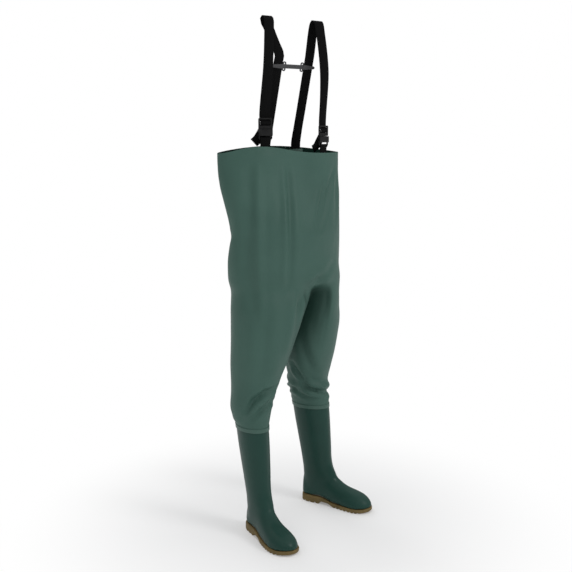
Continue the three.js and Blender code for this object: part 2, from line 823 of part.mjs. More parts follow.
// ---- back connector --------------------------------------------------------------------------------
const SLEEVE_WIDTH = STRAP_WIDTH + 8;
const SLEEVE_HEIGHT = 17;
const SLEEVE_THICK = 7;
const SLEEVE_SLOT = WEBBING + 1.4;
const BRIDGE_HEIGHT = 14;
const SLEEVE_END = 10; // the sleeves narrow to this at their outer ends
const RING_OUTER = 7;
const RING_INNER = 3.6;

function backConnector() {
  const { high, along } = backRun(-1);
  const other = backRun(1).high;
  const across = vector(1, 0, 0);
  const inward = new THREE.Vector3().crossVectors(along, across).normalize();
  const middle = high.clone().add(other).multiplyScalar(0.5);
  const matrix = new THREE.Matrix4().makeBasis(across, inward, along).setPosition(middle);
  const frame = { matrix };
  const reach = (other.x - high.x) / 2;
  let solid = faceCut(frame, rectangle(reach - 15, -BRIDGE_HEIGHT / 2, BRIDGE_HEIGHT / 2), 5);
  for (const hand of [-1, 1]) {
    const end = [
      [-SLEEVE_WIDTH / 2, -SLEEVE_HEIGHT / 2],
      [SLEEVE_WIDTH / 2, -SLEEVE_END / 2],
      [SLEEVE_WIDTH / 2 + 6, 0],
      [SLEEVE_WIDTH / 2, SLEEVE_END / 2],
      [-SLEEVE_WIDTH / 2, SLEEVE_HEIGHT / 2],
    ].map(([x, z]) => [hand * (reach + x), z]);
    solid = solid.add(faceCut(frame, end, SLEEVE_THICK));
    for (const up of [-1, 1]) {
      const disc = new THREE.CylinderGeometry(RING_OUTER, RING_OUTER, 4, 12);
      const at = new THREE.Matrix4().makeTranslation(
        hand * (reach - SLEEVE_WIDTH / 2 - 4),
        0,
        up * (BRIDGE_HEIGHT / 2 + 3),
      );
      solid = solid.add(solidOfGeometry(disc, matrix.clone().multiply(at)));
      const hole = new THREE.CylinderGeometry(RING_INNER, RING_INNER, 12, 8);
      solid = solid.subtract(solidOfGeometry(hole, matrix.clone().multiply(at)));
    }
  }
  for (const hand of [-1, 1]) {
    const slot = [
      [hand * reach - SLOT_HALF, -30],
      [hand * reach + SLOT_HALF, -30],
      [hand * reach + SLOT_HALF, 30],
      [hand * reach - SLOT_HALF, 30],
    ];
    solid = solid.subtract(faceCut(frame, slot, SLEEVE_SLOT));
  }
  return solid;
}

// ---- assembly ------------------------------------------------------------------------------------
const material = (color, roughness, metalness = 0) =>
  new THREE.MeshStandardMaterial({ color, roughness, metalness, side: THREE.DoubleSide });
const FABRIC_GREEN = material(0x3f5a50, 0.55);
const TAPE_GREEN = material(0x4c6a5e, 0.5);
const BOOT_GREEN = material(0x24463c, 0.35);
const SOLE_TAN = material(0xa8874e, 0.7);
const WEBBING_BLACK = material(0x141414, 0.85);
const BUCKLE_BLACK = material(0x1a1a1c, 0.4);
const CONNECTOR_GREY = material(0x46464a, 0.45);
const LINING = material(0x6d716c, 0.9);

const waders = new THREE.Group();

function piece(name, solid, look) {
  const mesh = new THREE.Mesh(geometryOf(solid.simplify(SMALLEST_EDGE)), look);
  mesh.name = name;
  waders.add(mesh);
}

piece("right_body_half", bodyHalf(-1), FABRIC_GREEN);
piece("left_body_half", bodyHalf(1), FABRIC_GREEN);
piece("chest_hem_facing", hemFacing(), FABRIC_GREEN);
piece("centre_seam_tape", seamTape(), TAPE_GREEN);

for (const [name, leg] of Object.entries(LEGS)) {
  piece(name + "_leg_weld_band", weldBand(leg), TAPE_GREEN);
  piece(name + "_boot_upper", bootUpper(leg), BOOT_GREEN);
  piece(name + "_outsole", outsole(leg), SOLE_TAN);
  piece(name + "_insole", insole(leg), LINING);
  const side = leg.side;
  piece(name + "_shoulder_strap", shoulderStrap(side), WEBBING_BLACK);
  piece(name + "_front_tab", frontTab(side), WEBBING_BLACK);
  piece(name + "_buckle_male", buckleMale(side), BUCKLE_BLACK);
  piece(name + "_buckle_female", buckleFemale(side), BUCKLE_BLACK);
  piece(name + "_outer_latch", latchArm(side, side), BUCKLE_BLACK);
  piece(name + "_inner_latch", latchArm(side, -side), BUCKLE_BLACK);
  piece(name + "_front_anchor_patch", anchorPatch(frontAnchor(side), true), TAPE_GREEN);
  piece(name + "_back_anchor_patch", anchorPatch(backAnchor(side), false), TAPE_GREEN);
}
piece("back_connector", backConnector(), CONNECTOR_GREY);

// The origin is under the middle of the whole object, on the plane that the soles stand on.
const bounds = new THREE.Box3().setFromObject(waders);
const centre = bounds.getCenter(new THREE.Vector3());
for (const mesh of waders.children) mesh.position.set(-centre.x, -centre.y, -bounds.min.z);

export default waders;
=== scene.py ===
import math

import bmesh
import bpy
import numpy as np
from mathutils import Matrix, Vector, noise
from mathutils.geometry import convex_hull_2d


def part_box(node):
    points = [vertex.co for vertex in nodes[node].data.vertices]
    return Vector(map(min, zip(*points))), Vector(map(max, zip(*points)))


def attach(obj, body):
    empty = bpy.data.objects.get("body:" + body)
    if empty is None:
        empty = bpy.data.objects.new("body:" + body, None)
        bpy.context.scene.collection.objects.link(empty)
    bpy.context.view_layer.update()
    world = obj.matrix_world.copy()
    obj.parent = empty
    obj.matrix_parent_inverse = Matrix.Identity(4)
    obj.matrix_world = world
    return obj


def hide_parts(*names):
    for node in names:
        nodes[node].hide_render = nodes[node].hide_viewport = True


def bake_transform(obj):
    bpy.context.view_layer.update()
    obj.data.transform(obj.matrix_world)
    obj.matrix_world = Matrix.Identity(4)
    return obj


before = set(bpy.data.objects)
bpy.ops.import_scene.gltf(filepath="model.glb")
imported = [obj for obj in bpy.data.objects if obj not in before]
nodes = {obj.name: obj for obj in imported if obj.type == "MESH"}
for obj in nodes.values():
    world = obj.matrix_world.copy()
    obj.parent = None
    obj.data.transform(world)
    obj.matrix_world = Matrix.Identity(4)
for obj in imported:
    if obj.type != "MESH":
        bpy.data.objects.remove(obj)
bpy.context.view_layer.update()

SIDES = ("right", "left")
BODY = "garment"

# ---- sizes in metres ---------------------------------------------------------------------------
FABRIC_VOXEL = 0.006
BOOT_VOXEL = 0.004
SOLE_VOXEL = 0.0022
FABRIC_THICK = 0.0012
BOOT_THICK = 0.003
HEM_DEPTH = 0.026
TAPE_HALF = 0.011
TAPE_BELOW_HEM = 0.004
FLAT_RIM = 1.40  # the skin is cut level here, then its top edge is drawn down to the real rim
RIM_EASE = 0.25  # height over which the top edge is drawn down
RIM_FROM = 1.36  # what lies above this on the body halves is their rim
RIM_PLUG = (1.335, 1.45)  # low and high end of the plug in the rim
EDGE_BAND = 0.0005  # points this near to an edge's height belong to that edge
EASE_EDGE = 0.04
EDGE_ROUND = 0.0006


# ---- small tools -------------------------------------------------------------------------------
def deselect():
    bpy.ops.object.select_all(action="DESELECT")


def only(obj):
    deselect()
    obj.select_set(True)
    bpy.context.view_layer.objects.active = obj


def from_data(name, points, faces):
    mesh = bpy.data.meshes.new(name)
    mesh.from_pydata([tuple(p) for p in points], [], faces)
    obj = bpy.data.objects.new(name, mesh)
    bpy.context.scene.collection.objects.link(obj)
    return obj


def copy_of(name, *parts):
    """One merged mesh of several CAD nodes or objects."""
    bm = bmesh.new()
    for part in parts:
        data = nodes[part].data if isinstance(part, str) else part.data
        bm.from_mesh(data)
    bmesh.ops.remove_doubles(bm, verts=bm.verts, dist=1e-5)
    mesh = bpy.data.meshes.new(name)
    bm.to_mesh(mesh)
    bm.free()
    obj = bpy.data.objects.new(name, mesh)
    bpy.context.scene.collection.objects.link(obj)
    return obj


def points_of(data):
    co = np.empty(len(data.vertices) * 3)
    data.vertices.foreach_get("co", co)
    return co.reshape(-1, 3)


def set_points(data, co):
    data.vertices.foreach_set("co", np.asarray(co, dtype=float).ravel())
    data.update()


def normals_of(data):
    n = np.empty(len(data.vertices) * 3)
    data.vertices.foreach_get("normal", n)
    return n.reshape(-1, 3)


def modify(obj, kind, **values):
    """Adds a modifier and applies it at once."""
    only(obj)
    modifier = obj.modifiers.new(kind.title(), kind)
    for key, value in values.items():
        setattr(modifier, key, value)
    bpy.ops.object.modifier_apply(modifier=modifier.name)


def cut(obj, point, normal):
    """Bisects a mesh and clears what lies on the side that the normal points to."""
    only(obj)
    bpy.ops.object.mode_set(mode="EDIT")
    bpy.ops.mesh.select_all(action="SELECT")
    bpy.ops.mesh.bisect(plane_co=point, plane_no=normal, clear_outer=True)
    bpy.ops.object.mode_set(mode="OBJECT")


def smooth_shade(obj, angle=180.0):
    only(obj)
    if angle >= 180:
        bpy.ops.object.shade_smooth()
    else:
        bpy.ops.object.shade_smooth_by_angle(angle=math.radians(angle))


def soften(obj, width, angle=50):
    """Rounds a piece's sharp edges a little."""
    modify(obj, "BEVEL", width=width, segments=2, limit_method="ANGLE",
           angle_limit=math.radians(angle))


def paint(obj, *materials):
    obj.data.materials.clear()
    for material in materials:
        obj.data.materials.append(material)


def outline(points):
    """The convex outline of points seen from above, in order."""
    order = convex_hull_2d([Vector((p[0], p[1])) for p in points])
    return [points[i] for i in order]


def prism(name, ring, low, high, inset):
    """A closed plug through a ring: inset at its low end, full from the ring to its high end."""
    ring = np.array(ring)
    centre = ring.mean(0)
    away = ring[:, :2] - centre[:2]
    away /= np.linalg.norm(away, axis=1)[:, None]
    bottom = ring.copy()
    bottom[:, :2] -= away * inset
    bottom[:, 2] = low
    top = ring.copy()
    top[:, 2] = high
    count = len(ring)
    rows = [bottom, ring, top]
    faces = []
    for r in range(2):
        for i in range(count):
            a, b = r * count + i, r * count + (i + 1) % count
            faces.append((a, b, b + count, a + count))
    faces.append(tuple(range(count))[::-1])
    faces.append(tuple(range(2 * count, 3 * count)))
    obj = from_data(name, np.vstack(rows), faces)
    only(obj)
    bpy.ops.object.mode_set(mode="EDIT")
    bpy.ops.mesh.select_all(action="SELECT")
    bpy.ops.mesh.normals_make_consistent(inside=False)
    bpy.ops.object.mode_set(mode="OBJECT")
    return obj


def remove(*objs):
    for obj in objs:
        bpy.data.objects.remove(obj)


def step(x, low, high):
    t = np.clip((x - low) / (high - low), 0, 1)
    return t * t * (3 - 2 * t)


def within(x, low, full, full_end, end):
    """1 from full to full_end, falling softly to 0 at low and at end."""
    return step(x, low, full) * step(-x, -end, -full_end)


def to_line(co, line):
    """Distance of every point from a line of points, and how far along the nearest place is."""
    best = np.full(len(co), 1e9)
    share = np.zeros(len(co))
    line = np.array(line, float)
    for i in range(len(line) - 1):
        a, b = line[i], line[i + 1]
        d = b - a
        t = np.clip(((co - a) @ d) / (d @ d), 0, 1)
        away = np.linalg.norm(co - a - t[:, None] * d, axis=1)
        near = away < best
        best[near] = away[near]
        share[near] = (i + t[near]) / (len(line) - 1)
    return best, share


# ---- garment skin ------------------------------------------------------------------------------
wall_points = np.vstack([points_of(nodes[side + "_body_half"].data) for side in SIDES])
rim_ring = outline(wall_points[wall_points[:, 2] > RIM_FROM])
rim_centre = np.mean([p[:2] for p in rim_ring], axis=0)
rim_angles = np.array([math.atan2(p[1] - rim_centre[1], p[0] - rim_centre[0]) for p in rim_ring])
rim_heights = np.array([p[2] for p in rim_ring])
order = np.argsort(rim_angles)
rim_angles = rim_angles[order]
rim_heights = rim_heights[order]


def rim_height(co):
    angle = np.arctan2(co[:, 1] - rim_centre[1], co[:, 0] - rim_centre[0])
    return np.interp(angle, rim_angles, rim_heights, period=2 * math.pi)


def lower_rim(obj):
    """Draws the level top edge down to the rim's own height."""
    co = points_of(obj.data)
    drop = FLAT_RIM - rim_height(co)
    co[:, 2] -= drop * step(co[:, 2], FLAT_RIM - RIM_EASE, FLAT_RIM)
    set_points(obj.data, co)


def capped_skin(name, parts, plugs, voxel, rounds):
    """The outer skin of thin-walled CAD parts as one even mesh.

    The plugs close the openings, so the remesh fills the inside.
    """
    obj = copy_of(name, *parts, *plugs)
    remove(*plugs)
    modify(obj, "REMESH", mode="VOXEL", voxel_size=voxel)
    modify(obj, "SMOOTH", factor=0.5, iterations=rounds)
    return obj


plugs = [prism("rim_plug", rim_ring, *RIM_PLUG, inset=0.004)]
leg_rings = {}
for side in SIDES:
    leg = points_of(nodes[side + "_body_half"].data)
    leg_bottom = leg[:, 2].min()
    edge = outline(leg[leg[:, 2] < leg_bottom + EDGE_BAND])
    ring = [np.array((p[0], p[1], leg_bottom)) for p in edge]
    leg_rings[side] = np.array(ring)
    plugs.append(prism(side + "_leg_plug", ring, leg_bottom + 0.012, leg_bottom - 0.04, 0.003))
seam_x = (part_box("right_body_half")[1].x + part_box("left_body_half")[0].x) / 2
skin = capped_skin("skin", ["right_body_half", "left_body_half"], plugs, FABRIC_VOXEL, 14)
cut(skin, (0, 0, FLAT_RIM), (0, 0, 1))
cut(skin, (0, 0, leg_bottom), (0, 0, -1))

# ---- folds -------------------------------------------------------------------------------------
GAP_TINT = (0.34, 0.46, 0.43, 1)  # painted shade, not a colour of the cloth
TAB_COVER = 0.005  # how far the fabric stands clear of a sewn end
TAB_END = 0.03  # length of webbing that counts as its sewn end
COVER_REACH = (0.045, 0.045, 0.040)
THIGH_HOLLOW = 0.013
THIGH_BAND = (0.58, 0.76, 0.85, 0.93)  # heights between which the inner thigh is hollowed
CROTCH_SHIFT = (0.075, 0.0, 0.055)  # away from the CAD shape, towards the left leg and up
CROTCH_MIDDLE = (0.06, 0.835)  # depth and height
CROTCH_REACH = (0.16, 0.34, 0.15)
CROTCH_FALL = 1.6
HIPS = {"right": (-0.13, 0.07), "left": (0.10, 0.07)}
HIP_HEIGHT = 0.80
LEG_SPLIT = -0.02
# lip beside a crease: share of its depth, then place and width in half widths
LIP_RISE, LIP_PLACE, LIP_WIDE = 0.35, 2.0, 1.1
RIDGE_RISE, RIDGE_PLACE = 0.8, 1.7  # the same above a gather
BROAD_ROLL = 0.0035
SMALL_ROLL = 0.0011
# line of the fold, how far it sinks (or stands out, if negative) and its half width
CREASES = [
    ([(-0.173, 0.023, 1.352), (-0.182, 0.015, 1.278), (-0.195, -0.004, 1.161),
      (-0.199, -0.012, 1.014),
      (-0.193, -0.011, 0.912), (-0.201, -0.033, 0.801)], -0.0065, 0.014),
    ([(-0.205, 0.030, 1.352), (-0.212, 0.024, 1.212), (-0.222, 0.015, 1.075),
      (-0.226, 0.015, 0.971),
      (-0.224, 0.0, 0.85)], 0.0075, 0.022),
    ([(-0.074, 0.009, 1.371), (-0.080, -0.002, 1.293), (-0.090, -0.022, 1.215),
      (-0.108, -0.048, 1.107),
      (-0.108, -0.048, 0.993), (-0.109, -0.044, 0.897)], -0.0055, 0.011),
    ([(-0.058, 0.008, 1.365), (-0.064, -0.004, 1.293), (-0.074, -0.026, 1.215),
      (-0.092, -0.052, 1.107),
      (-0.092, -0.052, 0.993), (-0.095, -0.048, 0.897)], 0.0065, 0.013),
    ([(0.175, 0.034, 1.331), (0.133, 0.007, 1.257), (0.087, -0.026, 1.182),
      (0.034, -0.055, 1.105)], 0.007, 0.013),
    ([(0.114, 0.008, 1.283), (0.070, -0.024, 1.201), (0.028, -0.052, 1.127)], 0.006, 0.010),
    ([(0.190, 0.045, 1.300), (0.160, 0.012, 1.180), (0.110, -0.020, 1.080)], 0.005, 0.014),
    ([(0.122, -0.032, 0.973), (0.077, -0.046, 0.943), (0.039, -0.052, 0.908)], 0.003, 0.014),
    ([(0.05, -0.050, 0.925), (0.018, -0.055, 0.893), (-0.005, -0.03, 0.86)], 0.012, 0.016),
    ([(-0.003, -0.052, 0.900), (-0.030, -0.056, 0.868), (-0.047, -0.045, 0.830),
      (-0.060, -0.040, 0.770)], 0.009, 0.014),
    ([(-0.055, -0.056, 0.905), (-0.080, -0.060, 0.850), (-0.099, -0.054, 0.755),
      (-0.110, -0.050, 0.68)], -0.007, 0.018),
    ([(-0.190, -0.038, 0.810), (-0.196, -0.043, 0.714), (-0.200, -0.039, 0.643),
      (-0.212, -0.019, 0.568)], 0.006, 0.022),
    ([(-0.131, -0.020, 0.545), (-0.183, -0.030, 0.540), (-0.222, -0.011, 0.510),
      (-0.239, 0.007, 0.468)], 0.012, 0.010),
    ([(-0.131, -0.020, 0.525), (-0.183, -0.030, 0.515), (-0.218, -0.013, 0.488),
      (-0.236, 0.004, 0.452)], -0.009, 0.010),
    ([(-0.120, 0.02, 0.485), (-0.150, -0.021, 0.495), (-0.196, -0.024, 0.472),
      (-0.233, -0.002, 0.440)], 0.008, 0.008),
    ([(0.046, 0.106, 0.580), (0.068, 0.096, 0.533), (0.093, 0.079, 0.487),
      (0.130, 0.058, 0.464), (0.183, 0.061, 0.450),
      (0.21, 0.10, 0.452)], 0.014, 0.010),
    ([(0.050, 0.12, 0.545), (0.075, 0.088, 0.510), (0.110, 0.063, 0.487),
      (0.150, 0.050, 0.482), (0.195, 0.075, 0.478)],
     -0.010, 0.010),
    ([(0.071, 0.149, 0.475), (0.083, 0.109, 0.450), (0.113, 0.073, 0.437),
      (0.168, 0.055, 0.427)], 0.007, 0.008),
    ([(0.032, 0.053, 0.690), (0.059, 0.045, 0.616), (0.097, 0.048, 0.552)], 0.007, 0.016),
    ([(0.073, -0.029, 0.868), (0.062, -0.020, 0.801), (0.055, 0.006, 0.723)], 0.008, 0.015),
    # back and far side
    ([(-0.090, 0.158, 1.33), (-0.100, 0.162, 1.20), (-0.105, 0.170, 1.05),
      (-0.10, 0.190, 0.95)], 0.007, 0.018),
    ([(0.060, 0.158, 1.33), (0.055, 0.163, 1.19), (0.062, 0.172, 1.06), (0.06, 0.192, 0.94)],
      0.006, 0.016),
    ([(-0.02, 0.156, 1.30), (-0.025, 0.165, 1.15), (-0.02, 0.178, 1.02)], -0.005, 0.020),
    ([(-0.200, 0.140, 1.22), (-0.150, 0.160, 1.12), (-0.100, 0.175, 1.04)], 0.007, 0.012),
    ([(0.165, 0.140, 1.24), (0.120, 0.158, 1.14), (0.070, 0.172, 1.06)], 0.007, 0.012),
    ([(0.180, 0.135, 1.10), (0.120, 0.165, 1.02), (0.050, 0.185, 0.96)], 0.006, 0.014),
    ([(-0.02, 0.195, 0.93), (-0.06, 0.200, 0.88), (-0.12, 0.190, 0.83)], 0.010, 0.013),
    ([(-0.02, 0.195, 0.93), (0.03, 0.200, 0.88), (0.09, 0.190, 0.82)], 0.010, 0.013),
    ([(0.205, 0.09, 1.33), (0.20, 0.085, 1.18), (0.205, 0.08, 1.05), (0.215, 0.085, 0.93)],
      0.006, 0.018),
    ([(-0.252, 0.07, 1.15), (-0.248, 0.08, 1.09), (-0.235, 0.12, 1.06)], 0.0025, 0.016),
]
# middle of a swelling, its reach sideways and in height, how far it stands out (or sinks, if
# negative)
SWELLS = [
    ((0.171, 0.015, 0.897), 0.11, 0.040, 0.009),
    ((0.176, 0.020, 0.795), 0.11, 0.040, -0.005),
    ((-0.238, 0.076, 0.460), 0.07, 0.060, 0.006),
]
# side, height, turn of the fold's middle from the front and its half spread in degrees, slope,
# depth, half width
GATHERS = [
    ("right", 0.430, 140, 50, 0.012, 0.005, 0.008),
    ("right", 0.455, 160, 45, -0.014, 0.009, 0.010),
    ("right", 0.490, 140, 40, 0.020, 0.009, 0.011),
    ("right", 0.530, 155, 40, -0.018, 0.008, 0.012),
    ("right", 0.600, 150, 35, 0.030, 0.006, 0.014),
    ("right", 0.680, 160, 32, -0.030, 0.005, 0.016),
    ("left", 0.425, 190, 60, 0.010, 0.005, 0.008),
    ("left", 0.452, 215, 60, 0.016, 0.009, 0.010),
    ("left", 0.492, 200, 55, -0.020, 0.009, 0.011),
    ("left", 0.535, 160, 50, 0.020, 0.008, 0.012),
    ("left", 0.610, 190, 45, -0.030, 0.006, 0.014),
    ("left", 0.700, 170, 40, 0.030, 0.005, 0.016),
]


def leg_axis(co, side):
    """Middle of a leg at each height, on a straight line from its lower edge to the hip."""
    ring = leg_rings[side].mean(0)
    hip = np.array(HIPS[side])
    share = np.clip((co[:, 2] - leg_bottom) / (HIP_HEIGHT - leg_bottom), 0, 1)[:, None]
    return ring[:2] * (1 - share) + hip * share


def add_folds(obj):
    co = points_of(obj.data)
    normal = normals_of(obj.data)
    push = np.zeros(len(co))
    for line, depth, half in CREASES:
        away, share = to_line(co, line)
        fade = np.sqrt(np.clip(np.sin(np.pi * np.clip(share * 0.9 + 0.05, 0, 1)), 0, 1))
        push -= depth * fade * np.exp(-((away / half) ** 2))
        beside = (away - LIP_PLACE * half) / (LIP_WIDE * half)
        push += LIP_RISE * depth * fade * np.exp(-(beside ** 2))
    for side, height, turn, spread, slope, depth, half in GATHERS:
        centre = leg_axis(co, side)
        angle = np.degrees(np.arctan2(co[:, 0] - centre[:, 0], -(co[:, 1] - centre[:, 1])))
        off = (angle - turn + 180) % 360 - 180
        window = np.exp(-((off / spread) ** 2))
        own = co[:, 0] < LEG_SPLIT if side == "right" else co[:, 0] >= LEG_SPLIT
        level = height + slope * np.sin(np.radians(off * 1.5))
        away = co[:, 2] - level
        ridge = RIDGE_RISE * np.exp(-(((away - RIDGE_PLACE * half) / half) ** 2))
        fold = -np.exp(-((away / half) ** 2)) + ridge
        push += depth * own * window * fold
    for middle, wide, tall, rise in SWELLS:
        off = (co - np.array(middle)) / np.array([wide, wide, tall])
        push += rise * np.exp(-(off ** 2).sum(1))
    for i, p in enumerate(co):
        broad = noise.noise(Vector((p[0] * 9, p[1] * 9, p[2] * 3.2)))
        small = noise.noise(Vector((p[0] * 26 + 7, p[1] * 26, p[2] * 11)))
        push[i] += BROAD_ROLL * broad + SMALL_ROLL * small
    held = step(FLAT_RIM - co[:, 2], 0.03, 0.10) * step(co[:, 2] - leg_bottom, 0.012, 0.04)
    set_points(obj.data, co + normal * (push * held)[:, None])


def ease(obj, low, high, rounds):
    """Relaxes the skin between two heights, fading out near each of them."""
    only(obj)
    band = obj.vertex_groups.new(name="band")
    height = points_of(obj.data)[:, 2]
    weight = within(height, low, low + EASE_EDGE, high - EASE_EDGE, high)
    for i, w in enumerate(weight):
        if w > 0:
            band.add([i], float(w), "REPLACE")
    modify(obj, "SMOOTH", factor=0.5, iterations=rounds, vertex_group="band")
    obj.vertex_groups.clear()


def lift_crotch(obj):
    """Moves the crotch up and towards the left leg, so that the right leg hangs across it."""
    co = points_of(obj.data)
    centre = np.array([seam_x, *CROTCH_MIDDLE])
    reach = np.array(CROTCH_REACH)
    near = np.exp(-(((co - centre) / reach) ** 2).sum(1) * CROTCH_FALL)
    co += near[:, None] * np.array(CROTCH_SHIFT)
    set_points(obj.data, co)


def hollow_thigh(obj):
    """Draws the left leg's inner face away from the right leg, which deepens the gap."""
    co = points_of(obj.data)
    normal = normals_of(obj.data)
    inward = step(-normal[:, 0], -0.1, 0.9) * step(-co[:, 1], -0.13, -0.04)
    height = within(co[:, 2], *THIGH_BAND)
    own = within(co[:, 0], seam_x - 0.01, seam_x + 0.02, 0.10, 0.13)
    co[:, 0] += THIGH_HOLLOW * inward * height * own
    co[:, 1] += 0.6 * THIGH_HOLLOW * inward * height * own * step(-co[:, 1], -0.06, 0.0)
    set_points(obj.data, co)


ease(skin, 0.80, 0.99, 70)
lift_crotch(skin)
hollow_thigh(skin)
modify(skin, "SMOOTH", factor=0.5, iterations=3)
add_folds(skin)
modify(skin, "SMOOTH", factor=0.5, iterations=2)


def mark_gap(obj):
    """Marks the faces that look into the gap between the legs, for a painted shade."""
    co = points_of(obj.data)
    normal = normals_of(obj.data)
    split = seam_x + 0.055 * np.exp(-(((co[:, 2] - 0.84) / 0.12) ** 2))
    right = co[:, 0] < split
    inward = np.where(right, normal[:, 0], -normal[:, 0])
    mark = step(inward, 0.1, 0.6) * np.where(right, 0.5, 1.0)
    mark *= within(co[:, 2], 0.50, 0.74, 0.86, 0.90)
    mark *= step(-abs(co[:, 0] - split), -0.11, -0.04)
    layer = obj.data.attributes.new("gap", "FLOAT", "POINT")
    layer.data.foreach_set("value", mark)


def darken_gap(material):
    """Darkens a finish where the piece's own gap mark is set: a painted shade between the legs, not
    a colour of the cloth.
    """
    tree = material.node_tree
    shader = tree.nodes["Principled BSDF"]
    source = shader.inputs["Base Color"].links[0].from_socket
    mark = tree.nodes.new("ShaderNodeAttribute")
    mark.attribute_name = "gap"
    shade = tree.nodes.new("ShaderNodeMix")
    shade.data_type = "RGBA"
    shade.blend_type = "MULTIPLY"
    colours = [s for s in shade.inputs if s.type == "RGBA"]
    colours[1].default_value = GAP_TINT
    tree.links.new(mark.outputs["Fac"], shade.inputs["Factor"])
    tree.links.new(source, colours[0])
    tree.links.new([s for s in shade.outputs if s.type == "RGBA"][0], shader.inputs["Base Color"])


def cover_tabs(obj):
    """Lets the fabric stand clear of the sewn ends of the webbing behind it."""
    co = points_of(obj.data)
    push = np.zeros(len(co))
    for side in SIDES:
        for part in ("front_tab", "shoulder_strap"):
            ends = points_of(nodes[f"{side}_{part}"].data)
            low = ends[:, 2].min()
            middle = ends[ends[:, 2] < low + TAB_END].mean(0)
            off = (co - middle) / np.array(COVER_REACH)
            push = np.maximum(push, TAB_COVER * np.exp(-(off ** 2).sum(1)))
    set_points(obj.data, co + normals_of(obj.data) * push[:, None])


def offset(obj, distance):
    set_points(obj.data, points_of(obj.data) + normals_of(obj.data) * distance)


def layer_of_skin(name, cuts, inset, thick, material):
    """A strip of the skin between planes, set off from it and given its own thickness."""
    obj = copy_of(name, skin)
    for point, normal in cuts:
        cut(obj, point, normal)
    offset(obj, -inset)
    lower_rim(obj)
    modify(obj, "SOLIDIFY", thickness=thick, offset=-1)
    return dress(obj, BODY, material)


def dress(obj, body, material, angle=180.0, replaces=()):
    paint(obj, material)
    smooth_shade(obj, angle)
    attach(obj, body)
    if replaces:
        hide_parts(*replaces)
    return obj


# ---- finishes ----------------------------------------------------------------------------------
def group(name, inputs, outputs):
    tree = bpy.data.node_groups.new(name, "ShaderNodeTree")
    for label, kind, value in inputs:
        socket = tree.interface.new_socket(label, in_out="INPUT", socket_type=kind)
        if value is not None:
            socket.default_value = value
    for label, kind in outputs:
        tree.interface.new_socket(label, in_out="OUTPUT", socket_type=kind)
    return tree, tree.nodes.new("NodeGroupInput"), tree.nodes.new("NodeGroupOutput")


def math_node(tree, operation, *values):
    node = tree.nodes.new("ShaderNodeMath")
    node.operation = operation
    for i, value in enumerate(values):
        if hasattr(value, "links"):
            tree.links.new(value, node.inputs[i])
        else:
            node.inputs[i].default_value = value
    return node.outputs[0]


def make_mottle():
    """Soft uneven patches from 0 to 1, as colour and dust take on a surface."""
    tree, start, end = group(
        "mottle",
        [("Place", "NodeSocketVector", None), ("Scale", "NodeSocketFloat", 8.0),
         ("Detail", "NodeSocketFloat", 4.0)],
        [("Mask", "NodeSocketFloat")],
    )
    patches = tree.nodes.new("ShaderNodeTexNoise")
    tree.links.new(start.outputs["Place"], patches.inputs["Vector"])
    tree.links.new(start.outputs["Scale"], patches.inputs["Scale"])
    tree.links.new(start.outputs["Detail"], patches.inputs["Detail"])
    spread = tree.nodes.new("ShaderNodeMapRange")
    spread.inputs["From Min"].default_value = 0.3
    spread.inputs["From Max"].default_value = 0.7
    tree.links.new(patches.outputs["Fac"], spread.inputs["Value"])
    tree.links.new(spread.outputs["Result"], end.inputs["Mask"])
    return tree


def make_threads():
    """Crossing threads as a height from 0 to 1, with a pitch each way in turns per metre."""
    tree, start, end = group(
        "threads",
        [("Place", "NodeSocketVector", None), ("Across", "NodeSocketFloat", 3000.0),
         ("Up", "NodeSocketFloat", 3000.0)],
        [("Height", "NodeSocketFloat")],
    )
    parts = tree.nodes.new("ShaderNodeSeparateXYZ")
    tree.links.new(start.outputs["Place"], parts.inputs[0])
    level = math_node(tree, "ADD", parts.outputs["X"], parts.outputs["Y"])
    across = math_node(tree, "SINE", math_node(tree, "MULTIPLY", level, start.outputs["Across"]))
    rise = math_node(tree, "MULTIPLY", parts.outputs["Z"], start.outputs["Up"])
    up = math_node(tree, "SINE", rise)
    product = math_node(tree, "MULTIPLY", across, up)
    height = math_node(tree, "MULTIPLY_ADD", product, 0.5, 0.5)
    tree.links.new(height, end.inputs["Height"])
    return tree


MOTTLE = make_mottle()
THREADS = make_threads()


ROUGH_SPREAD = 0.08


